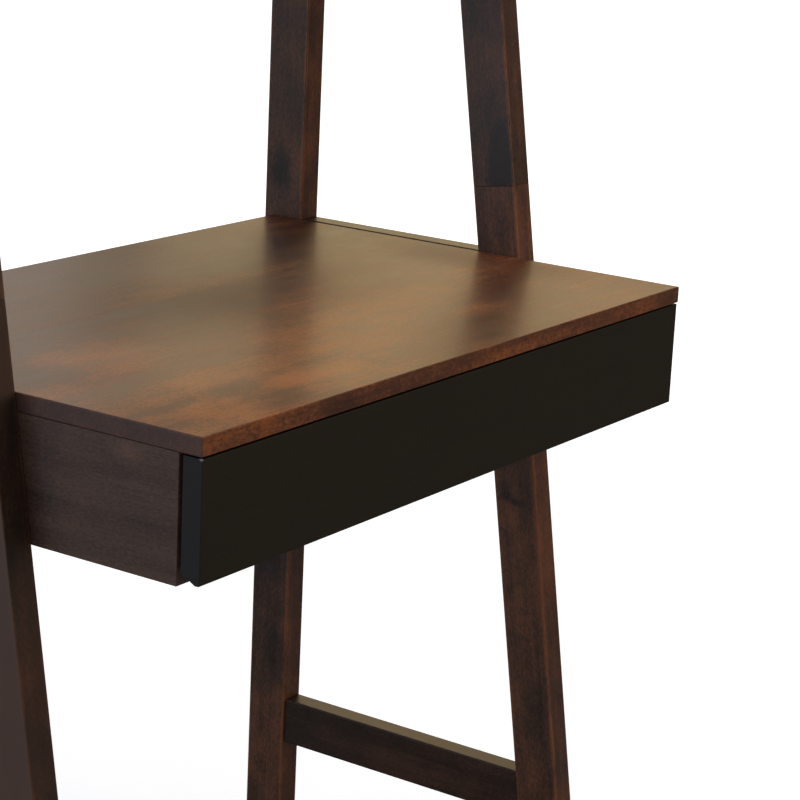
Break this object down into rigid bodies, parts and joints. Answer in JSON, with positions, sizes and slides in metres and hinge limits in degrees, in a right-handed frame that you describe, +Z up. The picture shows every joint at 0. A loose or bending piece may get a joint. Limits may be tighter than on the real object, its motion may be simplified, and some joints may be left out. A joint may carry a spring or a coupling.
{
  "type": "ladder desk",
  "caption": "Leaning ladder desk: two side frames with slanted front posts carry shelves above a shallow desk case with one wide black drawer on roller runners.",
  "frame": {"origin": "on the floor, at the middle of the overall width and depth", "axes": "+X to the right of the person at the desk, +Y to the back, +Z up"},
  "size_m": [0.811, 0.5196, 1.83],
  "materials": {
    "walnut_stain": "dark walnut stain under satin lacquer",
    "black_lacquer": "black stain under satin lacquer",
    "drawer_box_wood": "clear lacquered rubberwood",
    "drawer_ply": "clear lacquered plywood",
    "coated_runner": "brown epoxy powder coat",
    "nylon": "moulded nylon",
    "glide_nylon": "moulded nylon, brown",
    "beech": "bare fluted beech",
    "insert_zinc": "zinc alloy, yellow passivated",
    "black_bolts": "black oxide steel",
    "zinc_screws": "zinc plated steel"
  },
  "bodies": {
    "desk": {"front_post_lower_left": "walnut_stain", "front_post_lower_right": "walnut_stain", "front_post_upper_left": "walnut_stain", "front_post_upper_right": "walnut_stain", "back_post_left": "walnut_stain", "back_post_right": "walnut_stain", "foot_rail_left": "walnut_stain", "foot_rail_right": "walnut_stain", "desk_rail_left": "walnut_stain", "desk_rail_right": "walnut_stain", "first_shelf_rail_left": "walnut_stain", "first_shelf_rail_right": "walnut_stain", "second_shelf_rail_left": "walnut_stain", "second_shelf_rail_right": "walnut_stain", "top_shelf_rail_left": "walnut_stain", "top_shelf_rail_right": "walnut_stain", "case_side_left": "walnut_stain", "case_side_right": "walnut_stain", "case_runner_left": "coated_runner", "case_runner_right": "coated_runner", "desktop": "walnut_stain", "case_back": "walnut_stain", "case_batten": "walnut_stain", "first_shelf_board": "walnut_stain", "first_shelf_apron": "walnut_stain", "first_shelf_cleat_left": "walnut_stain", "first_shelf_cleat_right": "walnut_stain", "second_shelf_board": "walnut_stain", "second_shelf_apron": "walnut_stain", "second_shelf_cleat_left": "walnut_stain", "second_shelf_cleat_right": "walnut_stain", "top_shelf_board": "walnut_stain", "top_shelf_apron": "walnut_stain", "top_shelf_cleat_left": "walnut_stain", "top_shelf_cleat_right": "walnut_stain", "floor_glides": "glide_nylon", "splice_dowels": "beech", "board_dowels": "beech", "furniture_bolts": "black_bolts", "insert_nuts": "insert_zinc", "front_roller_pins": "zinc_screws", "case_runner_screws": "zinc_screws"},
    "drawer": {"drawer_side_left": "drawer_box_wood", "drawer_side_right": "drawer_box_wood", "drawer_runner_left": "coated_runner", "drawer_runner_right": "coated_runner", "drawer_front": "black_lacquer", "drawer_box_front": "drawer_box_wood", "drawer_box_back": "drawer_box_wood", "drawer_bottom": "drawer_ply", "rear_roller_pins": "zinc_screws", "drawer_runner_screws": "zinc_screws", "drawer_front_screws": "zinc_screws"},
    "front_roller_left": {"front_roller_left": "nylon"},
    "front_roller_right": {"front_roller_right": "nylon"},
    "rear_roller_left": {"rear_roller_left": "nylon"},
    "rear_roller_right": {"rear_roller_right": "nylon"}
  },
  "joints": [
    {"name": "drawer_slide", "type": "slide", "parent": "desk", "child": "drawer", "axis": [0, -1, 0], "range_m": [0, 0.29]},
    {"name": "front_roller_left_spin", "type": "hinge", "parent": "desk", "child": "front_roller_left", "pos_m": [-0.35075, -0.21875, 0.6562], "axis": [1, 0, 0], "range_deg": [0, 1663]},
    {"name": "front_roller_right_spin", "type": "hinge", "parent": "desk", "child": "front_roller_right", "pos_m": [0.35075, -0.21875, 0.6562], "axis": [1, 0, 0], "range_deg": [0, 1663]},
    {"name": "rear_roller_left_spin", "type": "hinge", "parent": "drawer", "child": "rear_roller_left", "pos_m": [-0.35075, 0.10485, 0.6562], "axis": [1, 0, 0], "range_deg": [0, 1525]},
    {"name": "rear_roller_right_spin", "type": "hinge", "parent": "drawer", "child": "rear_roller_right", "pos_m": [0.35075, 0.10485, 0.6562], "axis": [1, 0, 0], "range_deg": [0, 1525]}
  ],
  "couplings": [
    {"joint": "front_roller_left_spin", "follows": "drawer_slide", "rad_per_m": 100},
    {"joint": "front_roller_right_spin", "follows": "drawer_slide", "rad_per_m": 100},
    {"joint": "rear_roller_left_spin", "follows": "drawer_slide", "rad_per_m": 91.743},
    {"joint": "rear_roller_right_spin", "follows": "drawer_slide", "rad_per_m": 91.743}
  ]
}
